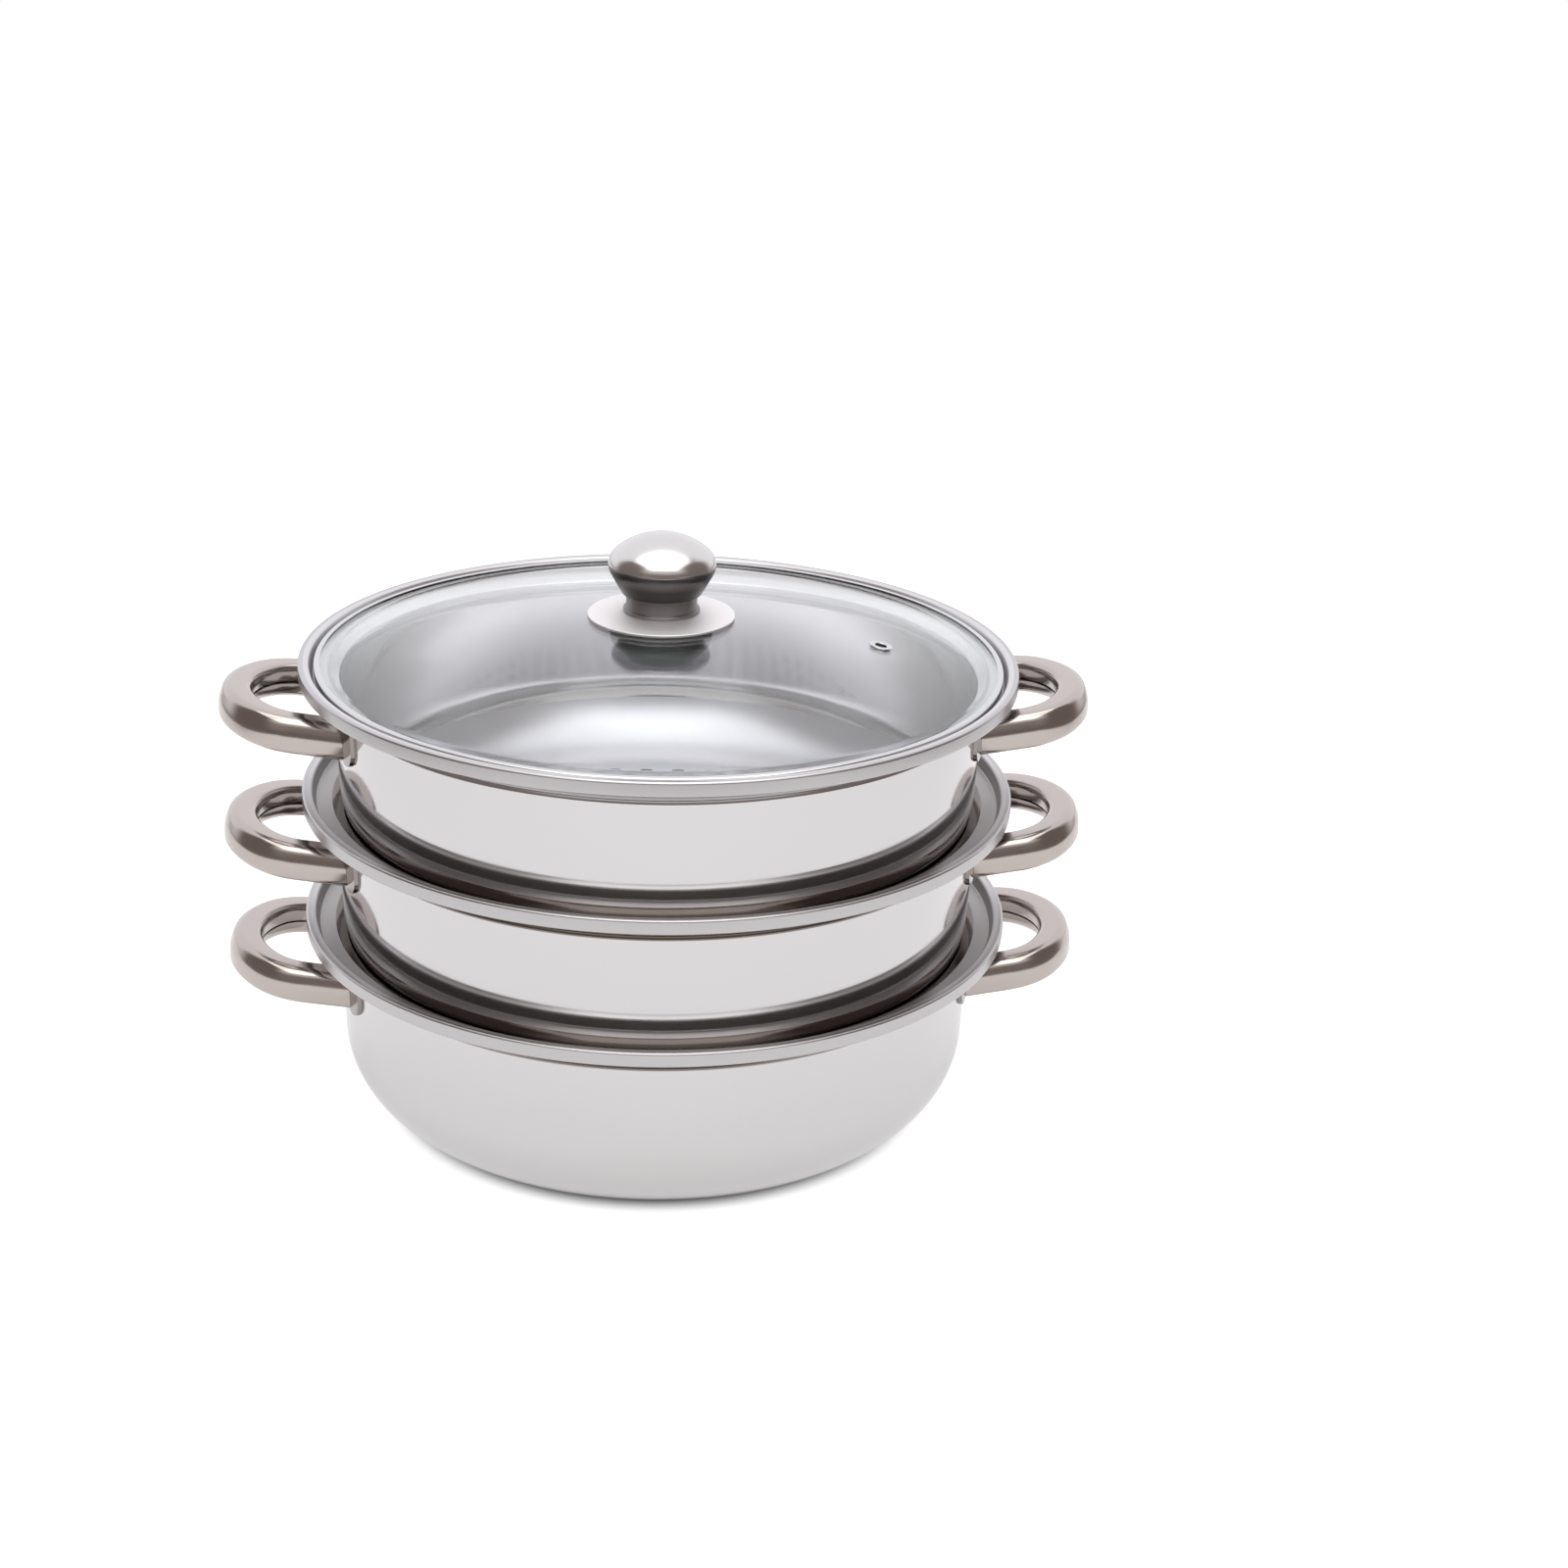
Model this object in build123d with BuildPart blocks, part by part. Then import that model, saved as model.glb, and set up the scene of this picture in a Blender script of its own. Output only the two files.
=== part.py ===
from build123d import *
import math
import os

# Food steamer: a pot, two steaming bowls stacked in it, and a glass lid
# Millimetres, Z up, origin at the centre of the pot's underside, handles along X
os.makedirs("parts", exist_ok=True)

# The stack
tier_pitch = 55.5            # rise from one bowl's flange to the next
lift_gap = 0.3               # clearance where one piece rests in another and lifts off
close_gap = 0.05             # clearance between pieces that are welded or clamped together

# Bowls: pressed sheet, one outline for the pot and both steamers
bowl_sheet = 0.7
bowl_depth = 88.0            # flange top down to the underside of the base
base_radius = 98.0           # flat part of the base
corner_radius = 36.4         # sweep between base and wall
wall_lean = 2.0              # degrees, opening upwards
wall_top_drop = 13.6         # top of the straight wall, below the flange
seat_drop = 9.4              # middle of the seat for the bowl above, below the flange
seat_half_length = 1.3
seat_to_ledge = 5.594        # out from the middle of the seat to the lid ledge
ledge_drop = 5.2             # lid ledge, below the flange
ledge_width = 6.4
ledge_bank = 1.6             # run of the short bank between ledge and flange
flange_width = 4.2
flange_fall = 0.5            # the flange slopes down this much towards the inside
skirt_height = 6.3
hem_width = 2.0
hem_return = 1.8
wall_bend = 3.0
seat_lower_bend = 1.6
seat_upper_bend = 1.4
ledge_inner_bend = 1.4
ledge_outer_bend = 0.6
flange_inner_bend = 1.2
flange_outer_bend = 1.0
hem_slack = 0.05             # flat left between the hem's two bends, on each side

# Steam holes in the two steamers
steam_hole_diameter = 6.0
steam_margin = 14.0          # last ring of holes, in from the edge of the flat base
steam_ring_count = 6
steam_holes_per_ring = 6     # the first ring's holes, and what each further ring adds

# Handles: hollow pressed section swept round a loop, one pair on each bowl
handle_width = 13.2
handle_height = 15.2
handle_sheet = 0.8
handle_large_round = 5.7     # top outside and bottom inside
handle_small_round = 3.3     # top inside and bottom outside
handle_slit = 0.9            # where the two pressed halves meet
handle_drop = 24.0           # middle of the arms' ends, below the flange
arm_end_inset = 0.386        # the loop is measured from this far inside the wall's widest line
arm_lap = 8.0                # the arms run on inwards, and are cut off where they meet the tongues
handle_rise = 8.3            # degrees that the loop climbs outwards
arm_offset = 34.6            # each arm's centre line, from the middle of the handle
loop_reach = 41.7            # from the start of the loop to the middle of the grip
loop_corner = 24.0
grip_bow = 40.0              # radius of the gently bowed grip

# Brackets: a tongue welded to the wall with a stub inside the arm
tongue_width = 17.0
tongue_sheet = 1.5
tongue_above_arm = 9.4       # from the middle of the arm's end up to the tongue's top
tongue_below_arm = 8.8
tongue_beyond_arm = 10.0     # the tongue shows this far beyond the arm's outer face
stub_gap = 0.3
stub_length = 13.0

# Lid glass
glass_thickness = 3.0
glass_rim_gap = 0.1
dome_rise = 18.6             # crown above the flat rim of the glass
glass_flat = 2.6             # width of the flat rim that shows inside the lid ring
dome_foot_bend = 12.0

# Lid ring: sheet rolled round the edge of the glass
ring_play = 0.5              # between the ring and the edge of the ledge
ring_width = 2.5
ring_sheet = 0.4
ring_bend = 0.9

# Vent eyelet
vent_inset = 46.6            # from the foot of the dome towards the axis
vent_angle = -11.5           # degrees round from the right handle
vent_bore = 5.0
vent_wall = 0.4
vent_flange_width = 2.0
vent_flange_sheet = 0.5
vent_hole_gap = 0.2

# Knob and what clamps it to the glass
screw_diameter = 6.0
screw_hole_gap = 0.3
thread_gap = 0.05
screw_depth_in_knob = 14.0
screw_head_diameter = 12.0
screw_head_height = 3.4
screw_socket_size = 4.0
screw_socket_depth = 2.2
upper_washer_sheet = 0.6
upper_washer_radius = 15.0
lower_washer_sheet = 0.8
lower_washer_radius = 18.0
disc_radius = 30.8
disc_sheet = 1.2
disc_flat_radius = 17.0
disc_fall = 1.3              # the rim lies this far below the middle
disc_bend = 30.0
collar_radius = 14.8
collar_height = 7.7
collar_foot_radius = 16.0
collar_foot_height = 1.5
collar_round = 0.6
knob_foot_radius = 16.6
knob_radius = 22.4
knob_foot_to_widest = 12.2
knob_widest_to_top = 13.2
knob_waist_bend = 7.5
cup_radius = 21.8
cup_depth = 15.6
cup_sheet = 0.6
cup_taper = 0.9              # how far the side has drawn in where it turns under
cup_turn_height = 6.4        # where the side turns under, above the bottom
cup_bottom_radius = 14.8
cup_lip = 1.8
cup_top_bend = 1.4
cup_side_bend = 6.0
cup_lip_bend = 0.9
glass_edge_round = 1.0

# Heights of the three flanges
pot_flange = bowl_depth
lower_flange = pot_flange + tier_pitch
upper_flange = lower_flange + tier_pitch


def save(piece, name):
    piece.label = name
    export_step(piece, "parts/" + name + ".step")


# Outside of the bowl's wall at a depth below its flange, with the lean of the wall there
corner_centre = bowl_depth - corner_radius


def wall_outside(depth):
    below = depth - corner_centre
    lean = math.radians(wall_lean)
    if below > corner_radius * math.sin(lean):
        lean = math.asin(below / corner_radius)
        return base_radius + corner_radius * math.cos(lean), lean
    above = corner_radius * math.sin(lean) - below
    tangent_radius = base_radius + corner_radius * math.cos(lean)
    return tangent_radius + above * math.tan(lean), lean


# The seat lies along the wall of the bowl above, with the lifting clearance between them
carried_radius, seat_lean = wall_outside(tier_pitch + seat_drop)
seat_radius = carried_radius + lift_gap / math.cos(seat_lean)
seat_run = seat_half_length * math.sin(seat_lean)
seat_climb = seat_half_length * math.cos(seat_lean)

# Inside and top surface of the sheet, from the axis out to the hem
ledge_inner_radius = seat_radius + seat_to_ledge
ledge_outer_radius = ledge_inner_radius + ledge_width
flange_inner_radius = ledge_outer_radius + ledge_bank
flange_radius = flange_inner_radius + flange_width
hem_bend = hem_width / 2 - hem_slack
half_turn = math.radians(90 - wall_lean) / 2
inner_corner = base_radius + (corner_radius - bowl_sheet) * math.tan(half_turn)
inner_floor = -bowl_depth + bowl_sheet
inner_wall_top = inner_corner + (-wall_top_drop - inner_floor) * math.tan(math.radians(wall_lean))
bowl_points = [
    (0, inner_floor),
    (inner_corner, inner_floor),
    (inner_wall_top, -wall_top_drop),
    (seat_radius - seat_run, -seat_drop - seat_climb),
    (seat_radius + seat_run, -seat_drop + seat_climb),
    (ledge_inner_radius, -ledge_drop),
    (ledge_outer_radius, -ledge_drop),
    (flange_inner_radius, -flange_fall),
    (flange_radius, 0),
    (flange_radius, -skirt_height),
    (flange_radius - hem_width, -skirt_height),
    (flange_radius - hem_width, -skirt_height + hem_return),
]
bowl_bends = [
    corner_radius - bowl_sheet,
    wall_bend,
    seat_lower_bend,
    seat_upper_bend,
    ledge_inner_bend,
    ledge_outer_bend,
    flange_inner_bend,
    flange_outer_bend,
    hem_bend,
    hem_bend,
]

# Plain bowl, its flange plane at zero
with BuildPart() as bowl:
    with BuildSketch(Plane.XZ):
        with BuildLine():
            FilletPolyline(*bowl_points, radius=bowl_bends)
            offset(amount=bowl_sheet, side=Side.RIGHT)
        make_face()
    revolve(axis=Axis.Z)

# Bowl with rings of steam holes in its base
steam_ring_pitch = (base_radius - steam_margin) / steam_ring_count

with BuildPart() as steamer:
    add(bowl.part)
    with BuildSketch(Plane.XY.offset(-bowl_depth)):
        Circle(steam_hole_diameter / 2)
        for ring in range(1, steam_ring_count + 1):
            with PolarLocations(ring * steam_ring_pitch, ring * steam_holes_per_ring):
                Circle(steam_hole_diameter / 2)
    extrude(amount=bowl_sheet, mode=Mode.SUBTRACT)

# Handle at the right, its plane climbing outwards from the arms' ends
handle_root = wall_outside(handle_drop)[0] - arm_end_inset
rise = math.radians(handle_rise)
loop_plane = Plane(
    origin=(handle_root, 0, -handle_drop),
    x_dir=(math.cos(rise), 0, math.sin(rise)),
    z_dir=(-math.sin(rise), 0, math.cos(rise)),
)
corner_y = arm_offset - loop_corner
corner_x = loop_reach - grip_bow + math.sqrt((grip_bow - loop_corner) ** 2 - corner_y**2)
bow_angle = math.degrees(math.asin(corner_y / (grip_bow - loop_corner)))
arm_start = loop_plane.from_local_coords((0, -arm_offset, 0))
arm_plane = Plane(origin=arm_start, x_dir=(0, 1, 0), z_dir=loop_plane.x_dir)

# Tongues on the wall, and the cone round them that the arms end on
tongue_top_drop = handle_drop - tongue_above_arm
tongue_bottom_drop = handle_drop + tongue_below_arm
tongue_centre = arm_offset + handle_width / 2 + tongue_beyond_arm - tongue_width / 2
tongue_top_radius = wall_outside(tongue_top_drop)[0] + close_gap
tongue_bottom_radius = wall_outside(tongue_bottom_drop)[0] + close_gap
arm_stop = tongue_sheet + close_gap

# Outline of the section: local x points into the loop and local y points up
with BuildSketch() as arm_outline:
    Rectangle(handle_width, handle_height)
    corners = arm_outline.vertices().sort_by(lambda corner: corner.X * corner.Y)
    fillet(corners[:2], handle_large_round)
    fillet(corners[2:], handle_small_round)

with BuildPart() as handle:
    with BuildLine(loop_plane):
        Line((-arm_lap, -arm_offset), (corner_x, -arm_offset))
        CenterArc((corner_x, -corner_y), loop_corner, -90, 90 - bow_angle)
        CenterArc((loop_reach - grip_bow, 0), grip_bow, -bow_angle, 2 * bow_angle)
        CenterArc((corner_x, corner_y), loop_corner, bow_angle, 90 - bow_angle)
        Line((corner_x, arm_offset), (-arm_lap, arm_offset))
    with BuildSketch(arm_plane.offset(-arm_lap)):
        add(arm_outline.sketch_local)
        offset(amount=-handle_sheet, mode=Mode.SUBTRACT)
        with Locations((handle_width / 2, 0)):
            Rectangle(handle_width / 2, handle_slit, mode=Mode.SUBTRACT)
    sweep()
    with BuildSketch(Plane.XZ):
        with BuildLine():
            Polyline(
                (0, -tongue_bottom_drop),
                (tongue_bottom_radius + arm_stop, -tongue_bottom_drop),
                (tongue_top_radius + arm_stop, -tongue_top_drop),
                (0, -tongue_top_drop),
                close=True,
            )
        make_face()
    revolve(axis=Axis.Z, mode=Mode.SUBTRACT)

# Bracket of the right handle's front arm: tongue on the wall and stub in the arm
with BuildPart() as tongue:
    with BuildSketch(Plane.XZ):
        with BuildLine():
            Polyline(
                (tongue_bottom_radius, -tongue_bottom_drop),
                (tongue_bottom_radius + tongue_sheet, -tongue_bottom_drop),
                (tongue_top_radius + tongue_sheet, -tongue_top_drop),
                (tongue_top_radius, -tongue_top_drop),
                close=True,
            )
        make_face()
    revolve(axis=Axis.Z)
    with BuildSketch(Plane.YZ):
        with Locations((-tongue_centre, -tongue_bottom_drop + tongue_width / 2)):
            Circle(tongue_width / 2)
        with Locations((-tongue_centre, -tongue_top_drop)):
            Rectangle(
                tongue_width,
                tongue_bottom_drop - tongue_top_drop - tongue_width / 2,
                align=(Align.CENTER, Align.MAX),
            )
    extrude(amount=flange_radius, mode=Mode.INTERSECT)

stub_inset = handle_sheet + stub_gap

with BuildPart() as bracket:
    with BuildSketch(arm_plane.offset(-arm_lap)):
        add(arm_outline.sketch_local)
        offset(amount=-stub_inset, mode=Mode.REPLACE)
    extrude(amount=arm_lap + stub_length)
    with BuildSketch(Plane.XZ):
        with BuildLine():
            Polyline(
                (0, -tongue_bottom_drop),
                (tongue_bottom_radius, -tongue_bottom_drop),
                (tongue_top_radius, -tongue_top_drop),
                (0, -tongue_top_drop),
                close=True,
            )
        make_face()
    revolve(axis=Axis.Z, mode=Mode.SUBTRACT)
    add(tongue.part)

with BuildPart() as rear_bracket:
    add(mirror(bracket.part, about=Plane.XZ))

# Lid, its pieces placed from the flange of the bowl that it closes
ring_bottom = -ledge_drop + lift_gap
glass_rim_bottom = ring_bottom + ring_sheet + glass_rim_gap
glass_rim_top = glass_rim_bottom + glass_thickness
ring_top = glass_rim_top + glass_rim_gap + ring_sheet
ring_radius = ledge_outer_radius - ring_play
glass_radius = ring_radius - ring_sheet - glass_rim_gap
dome_foot = ring_radius - ring_width - glass_flat
glass_crown = glass_rim_top + dome_rise
dome_radius = (dome_foot**2 + dome_rise**2) / (2 * dome_rise) - dome_foot_bend
dome_centre = glass_crown - dome_radius
dome_angle = math.degrees(math.asin(dome_foot / (dome_radius + dome_foot_bend)))
screw_hole = screw_diameter / 2 + screw_hole_gap


def dome_height(radius, surface_radius):
    return dome_centre + math.sqrt(surface_radius**2 - radius**2)


# Channel open towards the axis, its corners drawn as curves so that the ring meshes evenly
def channel(reach, low, high, bend):
    open_end = ring_radius - ring_width
    Line((open_end, low), (reach - bend, low))
    Bezier((reach - bend, low), (reach, low), (reach, low + bend))
    Line((reach, low + bend), (reach, high - bend))
    Bezier((reach, high - bend), (reach, high), (reach - bend, high))
    Line((reach - bend, high), (open_end, high))
    Line((open_end, high), (open_end, low))


with BuildPart() as lid_rim:
    with BuildSketch(Plane.XZ):
        with BuildLine():
            channel(ring_radius, ring_bottom, ring_top, ring_bend)
        make_face()
        with BuildLine():
            channel(
                ring_radius - ring_sheet,
                ring_bottom + ring_sheet,
                ring_top - ring_sheet,
                ring_bend - ring_sheet,
            )
        make_face(mode=Mode.SUBTRACT)
    revolve(axis=Axis.Z)

# The vent's axis stands square to the dome
vent_lean = math.asin((dome_foot - vent_inset) / dome_radius)
vent_turn = math.radians(vent_angle)
vent_normal = Vector(
    math.sin(vent_lean) * math.cos(vent_turn),
    math.sin(vent_lean) * math.sin(vent_turn),
    math.cos(vent_lean),
)
vent_plane = Plane(origin=Vector(0, 0, dome_centre) + vent_normal * dome_radius, z_dir=vent_normal)
vent_tube_radius = vent_bore / 2 + vent_wall
vent_flange_radius = vent_tube_radius + vent_flange_width

with BuildPart() as lid_glass:
    with BuildSketch(Plane.XZ) as glass_section:
        with BuildLine():
            CenterArc((0, dome_centre), dome_radius, 90, -dome_angle)
            CenterArc(
                (dome_foot, glass_rim_top + dome_foot_bend),
                dome_foot_bend,
                270 - dome_angle,
                dome_angle,
            )
            Line((dome_foot, glass_rim_top), (glass_radius, glass_rim_top))
            Line((glass_radius, glass_rim_top), (glass_radius, glass_rim_bottom))
            Line((glass_radius, glass_rim_bottom), (dome_foot, glass_rim_bottom))
            CenterArc(
                (dome_foot, glass_rim_top + dome_foot_bend),
                dome_foot_bend + glass_thickness,
                270 - dome_angle,
                dome_angle,
            )
            CenterArc((0, dome_centre), dome_radius - glass_thickness, 90, -dome_angle)
            Line((0, glass_crown - glass_thickness), (0, glass_crown))
        make_face()
        fillet(glass_section.vertices().sort_by(Axis.X)[-2:], glass_edge_round)
    revolve(axis=Axis.Z)
    with BuildSketch(Plane.XY.offset(glass_crown)):
        Circle(screw_hole)
    extrude(amount=-2 * glass_thickness, mode=Mode.SUBTRACT)
    with BuildSketch(vent_plane.offset(glass_thickness)):
        Circle(vent_tube_radius + vent_hole_gap)
    extrude(amount=-3 * glass_thickness, mode=Mode.SUBTRACT)

with BuildPart() as vent_eyelet:
    with BuildSketch(vent_plane.offset(close_gap)):
        Circle(vent_flange_radius)
    extrude(amount=vent_flange_sheet)
    with BuildSketch(vent_plane.offset(-glass_thickness - close_gap)):
        Circle(vent_flange_radius)
    extrude(amount=-vent_flange_sheet)
    fillet(vent_eyelet.edges().filter_by(GeomType.CIRCLE), vent_flange_sheet / 3)
    with BuildSketch(vent_plane.offset(close_gap)):
        Circle(vent_tube_radius)
    extrude(amount=-glass_thickness - 2 * close_gap)
    with BuildSketch(vent_plane.offset(glass_thickness)):
        Circle(vent_bore / 2)
    extrude(amount=-3 * glass_thickness, mode=Mode.SUBTRACT)

# Washers, disc, collar and knob stacked on the crown
upper_washer_top = glass_crown + close_gap + upper_washer_sheet
disc_middle = upper_washer_top + close_gap
collar_bottom = disc_middle + disc_sheet + close_gap
knob_bottom = collar_bottom + collar_height + close_gap
knob_widest = knob_bottom + knob_foot_to_widest
knob_top = knob_widest + knob_widest_to_top

with BuildPart() as upper_seal_washer:
    with BuildSketch(Plane.XY.offset(glass_crown + close_gap)):
        Circle(upper_washer_radius)
        Circle(screw_hole, mode=Mode.SUBTRACT)
    extrude(amount=upper_washer_sheet)

with BuildPart() as knob_base_disc:
    with BuildSketch(Plane.XZ) as disc_section:
        with BuildLine():
            FilletPolyline(
                (screw_hole, disc_middle),
                (disc_flat_radius, disc_middle),
                (disc_radius, disc_middle - disc_fall),
                radius=disc_bend,
            )
            offset(amount=disc_sheet, side=Side.LEFT)
        make_face()
        fillet(disc_section.vertices().sort_by(Axis.X)[-2:], disc_sheet / 3)
    revolve(axis=Axis.Z)

with BuildPart() as knob_collar:
    with BuildSketch(Plane.XY.offset(collar_bottom)):
        Circle(collar_foot_radius)
    extrude(amount=collar_foot_height)
    fillet(knob_collar.edges().sort_by(Axis.Z)[-1], collar_round)
    with BuildSketch(Plane.XY.offset(collar_bottom)):
        Circle(collar_radius)
    extrude(amount=collar_height)
    with BuildSketch(Plane.XY.offset(collar_bottom)):
        Circle(screw_hole)
    extrude(amount=collar_height, mode=Mode.SUBTRACT)

# The knob's crown and flank leave its round waist at tangents
waist_x = knob_radius - knob_waist_bend
crown_radius = (waist_x**2 + knob_widest_to_top**2 - knob_waist_bend**2) / (
    2 * (knob_widest_to_top - knob_waist_bend)
)
crown_turn = math.degrees(math.asin(waist_x / (crown_radius - knob_waist_bend)))
flank_reach = math.hypot(knob_foot_radius - waist_x, knob_foot_to_widest)
flank_turn = math.degrees(
    math.atan2(knob_foot_to_widest, knob_foot_radius - waist_x)
    - math.acos(knob_waist_bend / flank_reach)
)

with BuildPart() as knob:
    with BuildSketch(Plane.XZ):
        with BuildLine():
            CenterArc((0, knob_top - crown_radius), crown_radius, 90, -crown_turn)
            waist = CenterArc(
                (waist_x, knob_widest), knob_waist_bend, 90 - crown_turn, crown_turn - 90 - flank_turn
            )
            Line(waist @ 1, (knob_foot_radius, knob_bottom))
            Line((knob_foot_radius, knob_bottom), (0, knob_bottom))
            Line((0, knob_bottom), (0, knob_top))
        make_face()
    revolve(axis=Axis.Z)
    with BuildSketch(Plane.XY.offset(knob_bottom)):
        Circle(screw_diameter / 2 + thread_gap)
    extrude(amount=screw_depth_in_knob + lift_gap, mode=Mode.SUBTRACT)

# Seal washer, cup and screw under the glass
glass_underside = dome_radius - glass_thickness
lower_washer_top = dome_height(lower_washer_radius, glass_underside) - close_gap
cup_top = lower_washer_top - lower_washer_sheet - close_gap
cup_bottom = cup_top - cup_depth
screw_seat = cup_top - cup_sheet - close_gap

with BuildPart() as lower_seal_washer:
    with BuildSketch(Plane.XY.offset(lower_washer_top)):
        Circle(lower_washer_radius)
        Circle(screw_hole, mode=Mode.SUBTRACT)
    extrude(amount=-lower_washer_sheet)

with BuildPart() as under_lid_cup:
    with BuildSketch(Plane.XZ):
        with BuildLine():
            FilletPolyline(
                (screw_hole, cup_top),
                (cup_radius, cup_top),
                (cup_radius - cup_taper, cup_bottom + cup_turn_height),
                (cup_bottom_radius, cup_bottom),
                (cup_bottom_radius - cup_lip, cup_bottom),
                radius=[cup_top_bend, cup_side_bend, cup_lip_bend],
            )
            offset(amount=cup_sheet, side=Side.RIGHT)
        make_face()
    revolve(axis=Axis.Z)

with BuildPart() as knob_screw:
    with BuildSketch(Plane.XY.offset(screw_seat)):
        Circle(screw_head_diameter / 2)
    extrude(amount=-screw_head_height)
    fillet(knob_screw.edges().sort_by(Axis.Z)[0], screw_head_height / 3)
    with BuildSketch(Plane.XY.offset(screw_seat)):
        Circle(screw_diameter / 2)
    extrude(amount=knob_bottom - screw_seat + screw_depth_in_knob)
    with BuildSketch(Plane.XY.offset(screw_seat - screw_head_height)):
        RegularPolygon(screw_socket_size / 2, 6, major_radius=False)
    extrude(amount=screw_socket_depth, mode=Mode.SUBTRACT)

# Bowls, handles and brackets on each of the three tiers
tiers = [
    ("base_pot", "pot", pot_flange, bowl.part),
    ("lower_steamer", "lower", lower_flange, steamer.part),
    ("upper_steamer", "upper", upper_flange, steamer.part),
]
sides = [("right", 0), ("left", 180)]
for bowl_name, tier_name, flange_height, bowl_shape in tiers:
    save(Pos(0, 0, flange_height) * bowl_shape, bowl_name)
    for side_name, turn in sides:
        place = Pos(0, 0, flange_height) * Rot(0, 0, turn)
        front, rear = (bracket.part, rear_bracket.part) if turn == 0 else (rear_bracket.part, bracket.part)
        save(place * handle.part, f"{tier_name}_{side_name}_handle")
        save(place * front, f"{tier_name}_{side_name}_front_bracket")
        save(place * rear, f"{tier_name}_{side_name}_rear_bracket")

# Lid pieces, lifted to the top flange
lid_pieces = {
    "lid_glass": lid_glass,
    "lid_rim": lid_rim,
    "vent_eyelet": vent_eyelet,
    "upper_seal_washer": upper_seal_washer,
    "knob_base_disc": knob_base_disc,
    "knob_collar": knob_collar,
    "knob": knob,
    "lower_seal_washer": lower_seal_washer,
    "under_lid_cup": under_lid_cup,
    "knob_screw": knob_screw,
}
for name, piece in lid_pieces.items():
    save(Pos(0, 0, upper_flange) * piece.part, name)
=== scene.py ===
import math

import bpy
from mathutils import Matrix, Vector


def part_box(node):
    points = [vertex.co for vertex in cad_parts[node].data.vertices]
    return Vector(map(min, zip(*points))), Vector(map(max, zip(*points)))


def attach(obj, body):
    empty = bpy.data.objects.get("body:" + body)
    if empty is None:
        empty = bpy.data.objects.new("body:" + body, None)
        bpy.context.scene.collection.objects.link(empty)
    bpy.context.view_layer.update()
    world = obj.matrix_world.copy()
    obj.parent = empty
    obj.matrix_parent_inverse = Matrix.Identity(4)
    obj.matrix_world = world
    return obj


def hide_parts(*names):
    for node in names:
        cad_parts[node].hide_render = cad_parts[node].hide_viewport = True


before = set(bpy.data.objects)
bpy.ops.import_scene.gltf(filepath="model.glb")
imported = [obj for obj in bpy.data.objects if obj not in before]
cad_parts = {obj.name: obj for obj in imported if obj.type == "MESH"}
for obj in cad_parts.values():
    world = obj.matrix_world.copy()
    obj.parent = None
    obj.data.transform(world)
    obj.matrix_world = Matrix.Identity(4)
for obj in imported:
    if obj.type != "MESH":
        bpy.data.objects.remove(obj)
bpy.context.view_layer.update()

mm = 0.001                  # the settings of the object give lengths in mm and angles in degrees
weldDistance = 0.002 * mm   # vertices nearer than this are one
closeGap = 0.05             # between pieces that are clamped together, in mm
liftGap = 0.3               # where one piece rests in another and lifts off, in mm
print("frame loaded:", len(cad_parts), "nodes")


# small tools for edit mode

def deselectAll():
    if bpy.context.object and bpy.context.object.mode != "OBJECT":
        bpy.ops.object.mode_set(mode="OBJECT")
    bpy.ops.object.select_all(action="DESELECT")


def makeActive(piece):
    deselectAll()
    piece.select_set(True)
    bpy.context.view_layer.objects.active = piece


def roundedLine(corners, arcStep=9.0):
    # corners are (across, up, bend radius) in mm; a corner with a bend becomes an arc of short straight
    # lines, each turning by arcStep degrees at most
    points = [Vector(corners[0][:2])]
    for before, corner, after in zip(corners, corners[1:], corners[2:]):
        here, bend = Vector(corner[:2]), corner[2]
        goingIn = (here - Vector(before[:2])).normalized()
        goingOut = (Vector(after[:2]) - here).normalized()
        turn = math.atan2(goingIn.x * goingOut.y - goingIn.y * goingOut.x, goingIn.dot(goingOut))
        if bend <= 0:
            points.append(here)
            continue
        start = here - goingIn * bend * math.tan(abs(turn) / 2)
        side = math.copysign(1, turn)
        centre = start + Vector((-goingIn.y, goingIn.x)) * bend * side
        count = max(2, math.ceil(math.degrees(abs(turn)) / arcStep))
        for i in range(count + 1):
            points.append(centre + Matrix.Rotation(turn * i / count, 2) @ (start - centre))
    points.append(Vector(corners[-1][:2]))
    return points


def drawLine(name, points):
    # a plane merged to one vertex, then extruded from point to point; stays in edit mode
    deselectAll()
    bpy.ops.mesh.primitive_plane_add(size=mm, location=(0, 0, 0))
    piece = bpy.context.object
    piece.name = name
    bpy.ops.object.mode_set(mode="EDIT")
    bpy.ops.mesh.select_mode(type="VERT")
    bpy.ops.mesh.select_all(action="SELECT")
    bpy.ops.mesh.merge(type="CENTER")
    bpy.ops.transform.translate(value=points[0] * mm)
    for here, there in zip(points, points[1:]):
        bpy.ops.mesh.extrude_region_move(TRANSFORM_OT_translate={"value": (there - here) * mm})
    bpy.ops.mesh.select_all(action="SELECT")
    return piece


def spinLine(name, points, steps=256):
    # the line is drawn in the XZ plane and spun round Z
    piece = drawLine(name, [Vector((p.x, 0, p.y)) for p in points])
    bpy.ops.mesh.spin(steps=steps, angle=2 * math.pi, center=(0, 0, 0), axis=(0, 0, 1))
    bpy.ops.mesh.select_all(action="SELECT")
    bpy.ops.mesh.remove_doubles(threshold=weldDistance)
    bpy.ops.mesh.normals_make_consistent(inside=False)
    bpy.ops.object.mode_set(mode="OBJECT")
    return piece


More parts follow.
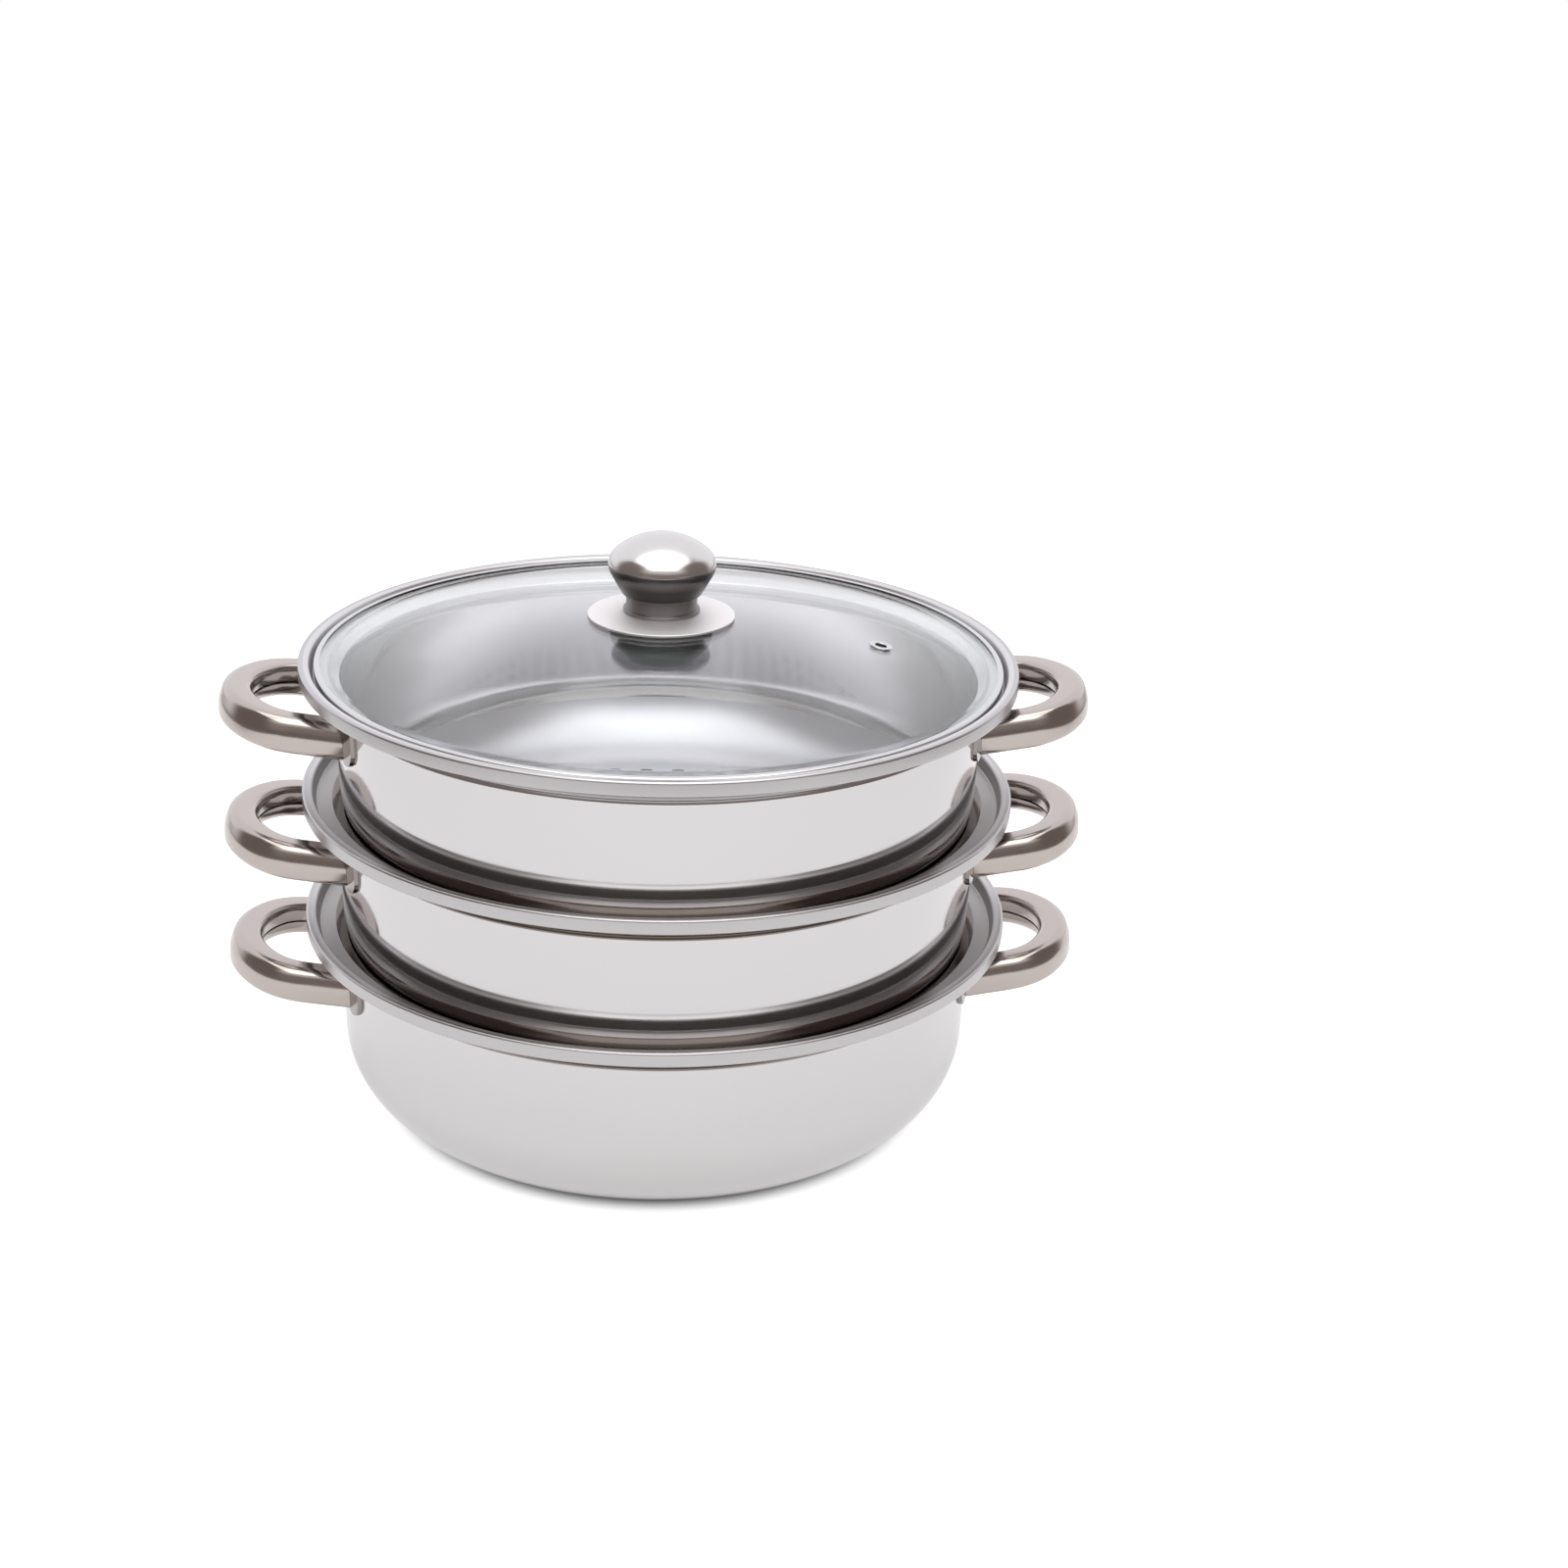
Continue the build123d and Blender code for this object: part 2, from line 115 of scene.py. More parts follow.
def giveSheet(piece, thickness):
    # wall thickness on the side that the faces look to
    makeActive(piece)
    wall = piece.modifiers.new("wall", "SOLIDIFY")
    wall.thickness = thickness * mm
    wall.offset = 1
    wall.use_even_offset = True
    bpy.ops.object.modifier_apply(modifier=wall.name)


def flipFaces(piece):
    makeActive(piece)
    bpy.ops.object.mode_set(mode="EDIT")
    bpy.ops.mesh.select_all(action="SELECT")
    bpy.ops.mesh.flip_normals()
    bpy.ops.object.mode_set(mode="OBJECT")


def smooth(piece, angle=30):
    makeActive(piece)
    bpy.ops.object.shade_smooth_by_angle(angle=math.radians(angle))


def movePiece(piece, offset):
    makeActive(piece)
    bpy.ops.object.mode_set(mode="EDIT")
    bpy.ops.mesh.select_all(action="SELECT")
    bpy.ops.transform.translate(value=Vector(offset) * mm)
    bpy.ops.object.mode_set(mode="OBJECT")


def copyPiece(piece, name, offset=(0, 0, 0), halfTurn=False):
    makeActive(piece)
    bpy.ops.object.duplicate()
    copy = bpy.context.object
    copy.name = name
    bpy.ops.object.mode_set(mode="EDIT")
    bpy.ops.mesh.select_all(action="SELECT")
    if halfTurn:
        bpy.ops.transform.rotate(value=math.pi, orient_axis="Z", center_override=(0, 0, 0))
    bpy.ops.transform.translate(value=Vector(offset) * mm)
    bpy.ops.object.mode_set(mode="OBJECT")
    return copy


def cutAway(piece, tool):
    # the tool's shape is taken out of the piece, and the tool is thrown away
    makeActive(piece)
    cut = piece.modifiers.new("cut", "BOOLEAN")
    cut.object = tool
    cut.solver = "EXACT"
    bpy.ops.object.modifier_apply(modifier=cut.name)
    bpy.data.objects.remove(tool)


def finishPiece(piece, body, material, nodes):
    piece.data.materials.clear()
    piece.data.materials.append(material)
    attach(piece, body)
    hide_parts(*nodes)


def giveFinish(node, material):
    # for a CAD node that shows as it is
    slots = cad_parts[node].data.materials
    slots.clear()
    slots.append(material)


# materials

def colour(hexCode):
    # sRGB hex to linear
    parts = [int(hexCode[i:i + 2], 16) / 255 for i in (1, 3, 5)]
    return [c / 12.92 if c <= 0.04045 else ((c + 0.055) / 1.055) ** 2.4 for c in parts] + [1.0]


def addNode(tree, kind, links=None, **settings):
    # settings whose names are sockets go to the sockets, the rest to the node
    node = tree.nodes.new(kind)
    for key, value in settings.items():
        if hasattr(node, key):
            setattr(node, key, value)
        else:
            node.inputs[key.replace("_", " ")].default_value = value
    for socket, source in (links or {}).items():
        tree.links.new(source, node.inputs[socket])
    return node


def newMaterial(name, **sockets):
    material = bpy.data.materials.new(name)
    material.use_nodes = True
    tree = material.node_tree
    shader = tree.nodes["Principled BSDF"]
    for key, value in sockets.items():
        shader.inputs[key.replace("_", " ")].default_value = value
    return material, tree, shader


def giveBump(tree, shader, pattern, strength, depth):
    # depth in mm
    bump = addNode(tree, "ShaderNodeBump", {"Height": pattern.outputs["Fac"]}, Strength=strength)
    bump.inputs["Distance"].default_value = depth * mm
    tree.links.new(bump.outputs[0], shader.inputs["Normal"])


def mixColour(tree, share, first, second):
    # each colour is a list of numbers or the output of a node; inputs 6 and 7 and output 2 are the
    # sockets that the node has for colours
    mix = addNode(tree, "ShaderNodeMix", {"Factor": share}, data_type="RGBA")
    for socket, source in ((mix.inputs[6], first), (mix.inputs[7], second)):
        if isinstance(source, list):
            socket.default_value = source
        else:
            tree.links.new(source, socket)
    return mix.outputs[2]


def between(tree, source, low, high):
    # 1 where the source lies between two lengths in mm, else 0
    above = addNode(tree, "ShaderNodeMath", {0: source}, operation="GREATER_THAN")
    above.inputs[1].default_value = low * mm
    under = addNode(tree, "ShaderNodeMath", {0: source}, operation="LESS_THAN")
    under.inputs[1].default_value = high * mm
    return addNode(
        tree, "ShaderNodeMath", {0: above.outputs[0], 1: under.outputs[0]}, operation="MULTIPLY")


def polishedSteel(name, hexCode, roughness, zones=()):
    # 18/8 stainless sheet, pressed and mirror-polished on a wheel: clear reflections, hair-fine rings
    # and faint smears; zones are bands of a bowl with another finish or with painted light or shade,
    # each of them (from radius, to radius, hex, roughness, top side only)
    ringPitch, smearSize = 0.5, 35   # mm
    noiseRange = (0.35, 0.75)        # of the smears' noise
    smearShares = (0.8, 1.35)        # of the roughness, at the two ends of that range
    material, tree, shader = newMaterial(
        name, Base_Color=colour(hexCode), Metallic=1.0, Roughness=roughness)
    place = addNode(tree, "ShaderNodeTexCoord")
    apart = addNode(tree, "ShaderNodeSeparateXYZ", {"Vector": place.outputs["Object"]})
    across = addNode(tree, "ShaderNodeVectorMath", {0: place.outputs["Object"]}, operation="MULTIPLY")
    across.inputs[1].default_value = (1, 1, 0)
    radius = addNode(tree, "ShaderNodeVectorMath", {0: across.outputs[0]}, operation="LENGTH")
    rings = addNode(
        tree, "ShaderNodeCombineXYZ", {"X": radius.outputs["Value"], "Z": apart.outputs["Z"]})
    ringNoise = addNode(
        tree, "ShaderNodeTexNoise", {"Vector": rings.outputs[0]}, Scale=1 / (ringPitch * mm),
        Detail=2.0)
    smears = addNode(
        tree, "ShaderNodeTexNoise", {"Vector": place.outputs["Object"]}, Scale=1 / (smearSize * mm),
        Detail=3.0)
    smearRange = addNode(tree, "ShaderNodeMapRange", {"Value": smears.outputs["Fac"]})
    for i, end in enumerate(("Min", "Max")):
        smearRange.inputs["From " + end].default_value = noiseRange[i]
        smearRange.inputs["To " + end].default_value = roughness * smearShares[i]
    rough, tint = smearRange.outputs[0], colour(hexCode)
    if zones:
        face = addNode(tree, "ShaderNodeNewGeometry")
        looks = addNode(tree, "ShaderNodeSeparateXYZ", {"Vector": face.outputs["Normal"]})
        up = addNode(tree, "ShaderNodeMath", {0: looks.outputs["Z"]}, operation="GREATER_THAN")
        up.inputs[1].default_value = 0.0
    for low, high, zoneHex, zoneRoughness, topOnly in zones:
        share = between(tree, radius.outputs["Value"], low, high)
        if topOnly:
            share = addNode(
                tree, "ShaderNodeMath", {0: share.outputs[0], 1: up.outputs[0]}, operation="MULTIPLY")
        choice = addNode(
            tree, "ShaderNodeMix", {"Factor": share.outputs[0], "A": rough}, B=zoneRoughness)
        rough = choice.outputs[0]
        tint = mixColour(tree, share.outputs[0], tint, colour(zoneHex))
    if zones:
        tree.links.new(tint, shader.inputs["Base Color"])
    tree.links.new(rough, shader.inputs["Roughness"])
    giveBump(tree, shader, ringNoise, strength=0.03, depth=0.01)
    return material


def turnedSteel(name, hexCode, roughness, flankShadeHex, footShadeHex, flankRoughness, seam, paintedShadeFade):
    # stainless knob turned and buffed: the cap is bright, and below the seam, whose height is given in
    # mm, the flank is darker and deepens towards the foot over the fade length in mm; this darkening is
    # painted shade
    ringPitch = 0.4   # mm
    material, tree, shader = newMaterial(name, Metallic=1.0)
    place = addNode(tree, "ShaderNodeTexCoord")
    apart = addNode(tree, "ShaderNodeSeparateXYZ", {"Vector": place.outputs["Object"]})
    below = addNode(tree, "ShaderNodeMath", {0: apart.outputs["Z"]}, operation="LESS_THAN")
    below.inputs[1].default_value = seam * mm
    deeperShade = addNode(tree, "ShaderNodeMapRange", {"Value": apart.outputs["Z"]})
    deeperShade.inputs["From Min"].default_value = seam * mm
    deeperShade.inputs["From Max"].default_value = (seam - paintedShadeFade) * mm
    flank = mixColour(tree, deeperShade.outputs[0], colour(flankShadeHex), colour(footShadeHex))
    tint = mixColour(tree, below.outputs[0], colour(hexCode), flank)
    tree.links.new(tint, shader.inputs["Base Color"])
    rough = addNode(tree, "ShaderNodeMix", {"Factor": below.outputs[0]}, A=roughness, B=flankRoughness)
    tree.links.new(rough.outputs[0], shader.inputs["Roughness"])
    rings = addNode(
        tree, "ShaderNodeTexNoise", {"W": apart.outputs["Z"]}, noise_dimensions="1D",
        Scale=1 / (ringPitch * mm))
    giveBump(tree, shader, rings, strength=0.03, depth=0.01)
    return material


def satinSteel(name, hexCode, roughness):
    # stainless steel finished with a belt or a brush: soft blurred reflections, fine grain
    grainSize = 0.6   # mm, coarser than the real 0.1, so that it shows
    material, tree, shader = newMaterial(
        name, Base_Color=colour(hexCode), Metallic=1.0, Roughness=roughness)
    place = addNode(tree, "ShaderNodeTexCoord")
    grain = addNode(
        tree, "ShaderNodeTexNoise", {"Vector": place.outputs["Object"]}, Scale=1 / (grainSize * mm),
        Detail=3.0)
    giveBump(tree, shader, grain, strength=0.05, depth=0.02)
    return material


def clearGlass(name):
    # tempered soda-lime lid glass: sharp reflections, almost colourless
    return newMaterial(
        name, Base_Color=colour("#fbfdfc"), Roughness=0.0, IOR=1.52, Transmission_Weight=1.0)[0]


def whiteSilicone(name):
    # moulded food-grade silicone, milky with a soft sheen
    return newMaterial(name, Base_Color=colour("#e4e4e0"), Roughness=0.5, Subsurface_Weight=0.2)[0]


# bands of a bowl, by radius in mm: inside as brushed; hem and ledge belt-polished, their darker tone
# painted shade; under the hem lighter, painted light; seat darker, painted shade
brushedInside = (0, 131, "#cccbd2", 0.36, True)
# satin hem: the roughness is the finish, the darker colour is painted shade
satinHemPaintedShade = (147.9, 160, "#bfbdbe", 0.3, False)
# painted light: lighter and rougher under the hem, against the dark arc of the flange's shade
underHemPaintedLight = (136.0, 147.9, "#d6d4d5", 0.4, False)
# painted shade: the seat darkened where the bowl above shades it
paintedShadeSeat = (131, 137.6, "#857d78", 0.12, True)
# satin ledge: the roughness is the finish, the darker colour is painted shade
satinLedgePaintedShade = (137.6, 146.2, "#aaa7a6", 0.36, True)
# two copies of the bowl steel: the lower bowls carry painted shade on seat and ledge, the top bowl has
# none
bowlSteelShadedSeat = polishedSteel(
    "polished stainless steel", "#cfcdce", 0.09,
    [brushedInside, underHemPaintedLight, paintedShadeSeat, satinLedgePaintedShade, satinHemPaintedShade])
topBowlSteel = polishedSteel(
    "polished stainless steel, bright seat", "#cfcdce", 0.09, [brushedInside, underHemPaintedLight, satinHemPaintedShade])
trimSteel = polishedSteel("bright rolled stainless steel", "#cfcfcf", 0.09)
# painted light: the disc's colour is lighter than the other steel, against the knob's shade
discSteelPaintedLight = satinSteel("spun stainless steel", "#f0eded", 0.6)
# painted shade: the collar's dark grey stands in for the shade under the knob
collarSteelShaded = satinSteel("lathe-turned stainless steel", "#8a8786", 0.4)
handleSteel = satinSteel("satin stainless steel", "#bab1ac", 0.16)
bracketSteel = satinSteel("pressed stainless steel", "#938d8a", 0.15)
cupSteel = satinSteel("tumbled stainless steel", "#868984", 0.42)
screwSteel = satinSteel("plain stainless steel", "#b4b2b0", 0.3)
lidGlassClear = clearGlass("tempered glass")
silicone = whiteSilicone("milky silicone")
print("materials made")


# bowls: one pressed outline, from the axis to the rolled hem, heights below the flange

bowl = {
    "tierPitch": 55.5, "depth": 88.0, "sheet": 0.7, "baseRadius": 98.0, "cornerRadius": 36.4,
    "lean": 2.0, "wallTop": 13.6, "seatDrop": 9.4, "seatHalf": 1.3, "ledgeDrop": 5.2,
    "ledge": (137.8, 144.2), "flange": (145.8, 150.0), "flangeFall": 0.5,
    "skirt": 6.3, "hemWidth": 2.0, "hemReturn": 1.8,
    "wallBend": 3.0, "seatBends": (1.6, 1.4), "ledgeBends": (1.4, 0.6), "flangeBends": (1.2, 1.0),
    "hemBend": 0.95, "plateRadius": 92.0, "plateSides": 256,
    "holeDiameter": 6.0, "holeSides": 28, "punchDepth": 4.0,
    "ringPitch": 14.0, "ringCount": 6, "holesPerRing": 6,
}
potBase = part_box("base_pot")[0].z / mm
potFlange = potBase + bowl["depth"]
lowerFlange = potFlange + bowl["tierPitch"]
topFlange = potFlange + 2 * bowl["tierPitch"]


def bowlCorners(fromRadius):
    b = bowl
    sheet = b["sheet"]
    floor = -b["depth"] + sheet
    lean = math.radians(b["lean"])
    corner = b["baseRadius"] + (b["cornerRadius"] - sheet) * math.tan(math.radians(45) - lean / 2)
    wallTop = corner + (-b["wallTop"] - floor) * math.tan(lean)
    # the seat follows the wall of the bowl above, and stands just clear of it
    below = b["tierPitch"] + b["seatDrop"] - (b["depth"] - b["cornerRadius"])
    tilt = math.asin(below / b["cornerRadius"])
    seat = b["baseRadius"] + b["cornerRadius"] * math.cos(tilt) + liftGap / math.cos(tilt)
    run, climb = b["seatHalf"] * math.sin(tilt), b["seatHalf"] * math.cos(tilt)
    flange, skirt = b["flange"][1], b["skirt"]
    return [
        (fromRadius, floor, 0),
        (corner, floor, b["cornerRadius"] - sheet),
        (wallTop, -b["wallTop"], b["wallBend"]),
        (seat - run, -b["seatDrop"] - climb, b["seatBends"][0]),
        (seat + run, -b["seatDrop"] + climb, b["seatBends"][1]),
        (b["ledge"][0], -b["ledgeDrop"], b["ledgeBends"][0]),
        (b["ledge"][1], -b["ledgeDrop"], b["ledgeBends"][1]),
        (b["flange"][0], -b["flangeFall"], b["flangeBends"][0]),
        (flange, 0, b["flangeBends"][1]),
        (flange, -skirt, b["hemBend"]),
        (flange - b["hemWidth"], -skirt, b["hemBend"]),
        (flange - b["hemWidth"], -skirt + b["hemReturn"], 0),
    ]


def makeBowl(name, fromRadius):
    piece = spinLine(name, roundedLine(bowlCorners(fromRadius), arcStep=4.5))
    lowest = min(piece.data.polygons, key=lambda face: face.center.z)
    if lowest.normal.z > 0:
        flipFaces(piece)
    giveSheet(piece, bowl["sheet"])
    return piece


def makePlate(name):
    # perforated plate: a disc with a hole in the middle and rings of holes round it, each ring with
    # holesPerRing more than the last
    b = bowl
    deselectAll()
    middle = (-b["depth"] + b["sheet"] / 2) * mm
    bpy.ops.mesh.primitive_cylinder_add(
        vertices=b["plateSides"], radius=b["plateRadius"] * mm, depth=b["sheet"] * mm,
        location=(0, 0, middle))
    plate = bpy.context.object
    plate.name = name
    bpy.ops.object.transform_apply(location=True)
    deselectAll()
    holeRadius, punchDepth = b["holeDiameter"] / 2 * mm, b["punchDepth"] * mm
    pin = {"vertices": b["holeSides"], "radius": holeRadius, "depth": punchDepth}
    bpy.ops.mesh.primitive_cylinder_add(**pin, location=(0, 0, middle))
    punch = bpy.context.object
    bpy.ops.object.transform_apply(location=True)
    bpy.ops.object.mode_set(mode="EDIT")
    for ring in range(1, b["ringCount"] + 1):
        count = ring * b["holesPerRing"]
        reach = ring * b["ringPitch"] * mm
        for i in range(count):
            angle = 2 * math.pi * i / count
            bpy.ops.mesh.primitive_cylinder_add(
                **pin, location=(reach * math.cos(angle), reach * math.sin(angle), middle))
    bpy.ops.object.mode_set(mode="OBJECT")
    cutAway(plate, punch)
    return plate


potShape = makeBowl("pot_bowl", 0)
steamerWall = makeBowl("steamer_wall", bowl["plateRadius"])
plateShape = makePlate("steamer_plate")
makeActive(steamerWall)
plateShape.select_set(True)
bpy.ops.object.join()
# node, start of its handles' names, body, height of the flange, shape, finish
tiers = [
    ("base_pot", "pot", "pot", potFlange, potShape, bowlSteelShadedSeat),
    ("lower_steamer", "lower", "lower_tier", lowerFlange, steamerWall, bowlSteelShadedSeat),
    ("upper_steamer", "upper", "upper_tier", topFlange, steamerWall, topBowlSteel),
]
for node, tier, body, flangeHeight, shape, material in tiers:
    piece = copyPiece(shape, node + "_polished", (0, 0, flangeHeight))
    smooth(piece)
    finishPiece(piece, body, material, [node])
for shape in (potShape, steamerWall):
    bpy.data.objects.remove(shape)
print("bowls made")

# handles: a hollow section with an open slit, drawn at the front arm's root and swept round the loop

handle = {
    "width": 13.2, "height": 15.2, "sheet": 0.8, "largeBend": 5.7, "smallBend": 3.3, "slit": 0.9,
    "topBend": 4.0, "leanBack": 1.7, "crownHeight": 0.5, "crownBend": 12.0, "drawIn": 0.7,
    "root": 135.0, "drop": 24.0, "rise": 8.3, "armOffset": 34.6, "armLap": 8.0, "reach": 41.7,
    "corner": 24.0, "cornerSteps": 20, "bow": 40.0, "bowSteps": 24,
    "endRadius": 136.986, "endLean": 2.0, "endReach": 14.0, "endSides": 720, "endBevel": 0.25,
}


def makeHandle(name):
    h = handle
    wide, high, slit = h["width"] / 2, h["height"] / 2, h["slit"] / 2
    # the outer side is crowned: its upper part leans back and its lower part draws in
    line = roundedLine([
        (wide, slit, 0), (wide, high, h["smallBend"]), (-wide + h["leanBack"], high, h["topBend"]),
        (-wide, h["crownHeight"], h["crownBend"]), (-wide + h["drawIn"], -high, h["smallBend"]),
        (wide, -high, h["largeBend"]), (wide, -slit, 0),
    ], arcStep=6)
    cornerY = h["armOffset"] - h["corner"]
    cornerX = h["reach"] - h["bow"] + math.sqrt((h["bow"] - h["corner"]) ** 2 - cornerY ** 2)
    bow = math.asin(cornerY / (h["bow"] - h["corner"]))
    piece = drawLine(name, [Vector((-h["armLap"], p.x - h["armOffset"], p.y)) for p in line])
    bpy.ops.mesh.extrude_region_move(
        TRANSFORM_OT_translate={"value": ((h["armLap"] + cornerX) * mm, 0, 0)})
    quarter = math.pi / 2 - bow
    for centre, angle, steps in (
        ((cornerX, -cornerY), quarter, h["cornerSteps"]),
        ((h["reach"] - h["bow"], 0), 2 * bow, h["bowSteps"]),
        ((cornerX, cornerY), quarter, h["cornerSteps"]),
    ):
        bpy.ops.mesh.spin(
            steps=steps, angle=-angle, center=(centre[0] * mm, centre[1] * mm, 0), axis=(0, 0, 1))
    bpy.ops.mesh.extrude_region_move(
        TRANSFORM_OT_translate={"value": (-(h["armLap"] + cornerX) * mm, 0, 0)})
    bpy.ops.mesh.select_all(action="SELECT")
    bpy.ops.mesh.remove_doubles(threshold=weldDistance)
    bpy.ops.mesh.normals_make_consistent(inside=False)
    bpy.ops.object.mode_set(mode="OBJECT")
    highest = max(piece.data.polygons, key=lambda face: face.center.z)
    if highest.normal.z > 0:
        flipFaces(piece)
    giveSheet(piece, h["sheet"])
    makeActive(piece)
    bpy.ops.object.mode_set(mode="EDIT")
    bpy.ops.mesh.select_all(action="SELECT")
    bpy.ops.transform.rotate(
        value=math.radians(h["rise"]), orient_axis="Y", center_override=(0, 0, 0))
    bpy.ops.transform.translate(value=(h["root"] * mm, 0, -h["drop"] * mm))
    bpy.ops.object.mode_set(mode="OBJECT")
    # the arms end on a cone that stands just off the tongues
    spread = h["endReach"] * math.tan(math.radians(h["endLean"]))
    deselectAll()
    bpy.ops.mesh.primitive_cone_add(
        vertices=h["endSides"], radius1=(h["endRadius"] - spread) * mm,
        radius2=(h["endRadius"] + spread) * mm, depth=2 * h["endReach"] * mm,
        location=(0, 0, -h["drop"] * mm))
    stop = bpy.context.object
    bpy.ops.object.transform_apply(location=True)
    cutAway(piece, stop)
    edge = piece.modifiers.new("edge", "BEVEL")
    edge.width = h["endBevel"] * mm
    edge.segments = 2
    edge.angle_limit = math.radians(50)
    bpy.ops.object.modifier_apply(modifier=edge.name)
    smooth(piece, angle=40)
    return piece


handleShape = makeHandle("handle_shape")
for node, tier, body, flangeHeight, *_ in tiers:
    for side in ("right", "left"):
        name = f"{tier}_{side}_handle"
        piece = copyPiece(handleShape, name + "_satin", (0, 0, flangeHeight), side == "left")
        finishPiece(piece, body, handleSteel, [name])
        for end in ("front", "rear"):
            giveFinish(f"{tier}_{side}_{end}_bracket", bracketSteel)
bpy.data.objects.remove(handleShape)
print("handles made")

# lid: heights above the top flange, in mm

lid = {
    "ringRadius": 143.7, "ringWidth": 2.5, "ringSheet": 0.4, "ringBend": 0.9,
    "glass": 3.0, "rimGap": 0.1, "rise": 18.6, "flat": 2.6, "footBend": 12.0, "edgeRound": 1.0,
    "ventRadius": 92.0, "ventAngle": -11.5, "ventBore": 5.0, "ventWall": 0.4, "ventFlange": 2.0,
    "ventSheet": 0.5, "ventClear": 0.2, "ventPunch": 12.0, "ventSides": 64, "ventBends": (0.4, 0.2),
    "screwHole": 3.3,
}
ringBottom = -bowl["ledgeDrop"] + liftGap
glassBottom = ringBottom + lid["ringSheet"] + lid["rimGap"]
glassTop = glassBottom + lid["glass"]
ringTop = glassTop + lid["rimGap"] + lid["ringSheet"]
glassRadius = lid["ringRadius"] - lid["ringSheet"] - lid["rimGap"]
domeFoot = lid["ringRadius"] - lid["ringWidth"] - lid["flat"]
crown = glassTop + lid["rise"]
domeRadius = (domeFoot ** 2 + lid["rise"] ** 2) / (2 * lid["rise"]) - lid["footBend"]
domeCentre = crown - domeRadius
domeAngle = math.asin(domeFoot / (domeRadius + lid["footBend"]))


def domeLine(surface, bend, count=64, footCount=6):
    # from the crown's hole out along the dome and round the foot, at one surface of the glass
    start = math.asin(lid["screwHole"] / surface)
    points = []
    for i in range(count + 1):
        angle = start + (domeAngle - start) * i / count
        points.append(Vector((surface * math.sin(angle), domeCentre + surface * math.cos(angle))))
    for i in range(1, footCount + 1):
        angle = domeAngle * (1 - i / footCount)
        height = glassTop + lid["footBend"] - bend * math.cos(angle)
        points.append(Vector((domeFoot - bend * math.sin(angle), height)))
    return points


def makeGlass():
    top = domeLine(domeRadius, lid["footBend"])
    under = domeLine(domeRadius - lid["glass"], lid["footBend"] + lid["glass"])
    rim = roundedLine([
        (domeFoot, glassTop, 0), (glassRadius, glassTop, lid["edgeRound"]),
        (glassRadius, glassBottom, lid["edgeRound"]), (domeFoot, glassBottom, 0),
    ], arcStep=15)
    outline = top[:-1] + rim + under[:-1][::-1]
    piece = spinLine("lid_glass_clear", outline + outline[:1])
    # the vent's hole, square to the dome
    deselectAll()
    holeRadius = lid["ventBore"] / 2 + lid["ventWall"] + lid["ventClear"]
    bpy.ops.mesh.primitive_cylinder_add(
        vertices=lid["ventSides"], radius=holeRadius * mm, depth=lid["ventPunch"] * mm)
    punch = bpy.context.object
    punch.matrix_world = ventPlace()
    cutAway(piece, punch)
    movePiece(piece, (0, 0, topFlange))
    smooth(piece)
    return piece


def ventPlace():
    # the dome's surface at the vent, Z square to it
    lean = math.asin(lid["ventRadius"] / domeRadius)
    turn = math.radians(lid["ventAngle"])
    tilted = Matrix.Rotation(turn, 4, "Z") @ Matrix.Rotation(lean, 4, "Y")
    centre = Matrix.Translation((0, 0, domeCentre * mm))
    return centre @ tilted @ Matrix.Translation((0, 0, domeRadius * mm))


def makeEyelet():
    bore = lid["ventBore"] / 2
    tube = bore + lid["ventWall"]
    wide = tube + lid["ventFlange"]
    top = closeGap + lid["ventSheet"]
    under, bottom = -lid["glass"] - closeGap, -lid["glass"] - closeGap - lid["ventSheet"]
    bend, edge = lid["ventBends"]
    line = roundedLine([
        (bore, 0, 0), (bore, top, bend), (wide, top, edge), (wide, closeGap, edge), (tube, closeGap, 0),
        (tube, under, 0), (wide, under, edge), (wide, bottom, edge), (bore, bottom, bend), (bore, 0, 0),
    ], arcStep=20)
    piece = spinLine("vent_eyelet_bright", line, steps=lid["ventSides"])
    piece.matrix_world = ventPlace()
    makeActive(piece)
    bpy.ops.object.transform_apply(location=True, rotation=True)
    movePiece(piece, (0, 0, topFlange))
    smooth(piece)
    return piece


ringInside = lid["ringRadius"] - lid["ringWidth"]
ring = spinLine("lid_rim_bright", roundedLine([
    (ringInside, ringBottom, 0), (lid["ringRadius"], ringBottom, lid["ringBend"]),
    (lid["ringRadius"], ringTop, lid["ringBend"]), (ringInside, ringTop, 0),
], arcStep=15))
outermost = max(ring.data.polygons, key=lambda face: face.center.xy.length)
if outermost.normal.dot(outermost.center) > 0:
    flipFaces(ring)
giveSheet(ring, lid["ringSheet"])
movePiece(ring, (0, 0, topFlange))
smooth(ring)
finishPiece(ring, "lid", trimSteel, ["lid_rim"])
finishPiece(makeGlass(), "lid", lidGlassClear, ["lid_glass"])
finishPiece(makeEyelet(), "lid", trimSteel, ["vent_eyelet"])
print("glass, ring and vent made")

# knob stack, heights above the glass crown

